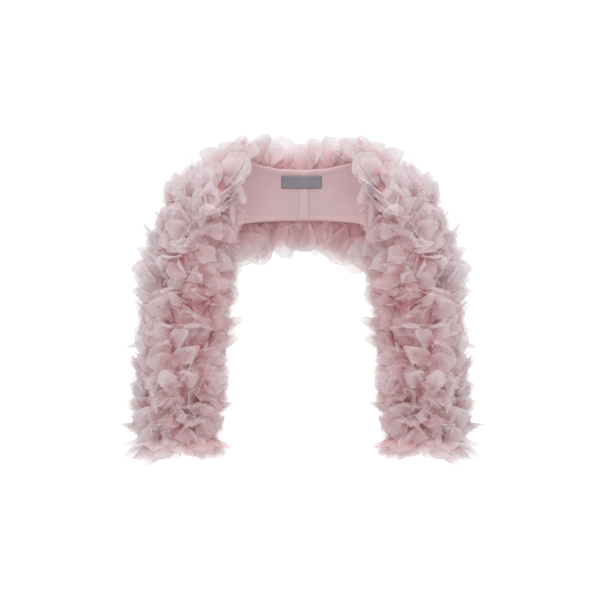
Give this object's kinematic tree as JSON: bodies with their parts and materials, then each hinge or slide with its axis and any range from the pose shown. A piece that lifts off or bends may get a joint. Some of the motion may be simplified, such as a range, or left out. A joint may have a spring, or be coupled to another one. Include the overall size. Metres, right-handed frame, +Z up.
{
  "type": "bolero jacket",
  "caption": "Cropped open-front bolero with straight sleeves, covered all over in layered cloth petals, with a smooth satin back lining and a bare neck label.",
  "frame": {"origin": "midway between the shoulders, level with the back neck edge, where the wearer holds the garment up", "axes": "+X to the wearer's left arm, +Y to the wearer's back, +Z up; the open front faces -Y"},
  "size_m": [0.6358, 0.2475, 0.6178],
  "materials": {
    "shell cloth": "matte rose base cloth",
    "lining satin": "smooth pink satin",
    "petal organza": "sheer pale rose organza",
    "label weave": "bare grey woven satin"
  },
  "bodies": {
    "root": {"back": "shell cloth", "front_left": "shell cloth", "front_right": "shell cloth", "sleeve_left": "shell cloth", "sleeve_right": "shell cloth", "lining_back": "lining satin", "label": "label weave", "petals_back_hem": "petal organza", "petals_back_middle": "petal organza", "petals_back_top": "petal organza", "petals_shoulder_left_inner": "petal organza", "petals_shoulder_left_outer": "petal organza", "petals_front_left_edge": "petal organza", "petals_front_left_armhole": "petal organza", "petals_sleeve_left_01": "petal organza", "petals_sleeve_left_02": "petal organza", "petals_sleeve_left_03": "petal organza", "petals_sleeve_left_04": "petal organza", "petals_sleeve_left_05": "petal organza", "petals_sleeve_left_06": "petal organza", "petals_sleeve_left_07": "petal organza", "petals_sleeve_left_08": "petal organza", "petals_sleeve_left_09": "petal organza", "petals_sleeve_left_10": "petal organza", "petals_shoulder_right_inner": "petal organza", "petals_shoulder_right_outer": "petal organza", "petals_front_right_edge": "petal organza", "petals_front_right_armhole": "petal organza", "petals_sleeve_right_01": "petal organza", "petals_sleeve_right_02": "petal organza", "petals_sleeve_right_03": "petal organza", "petals_sleeve_right_04": "petal organza", "petals_sleeve_right_05": "petal organza", "petals_sleeve_right_06": "petal organza", "petals_sleeve_right_07": "petal organza", "petals_sleeve_right_08": "petal organza", "petals_sleeve_right_09": "petal organza", "petals_sleeve_right_10": "petal organza"}
  },
  "joints": []
}
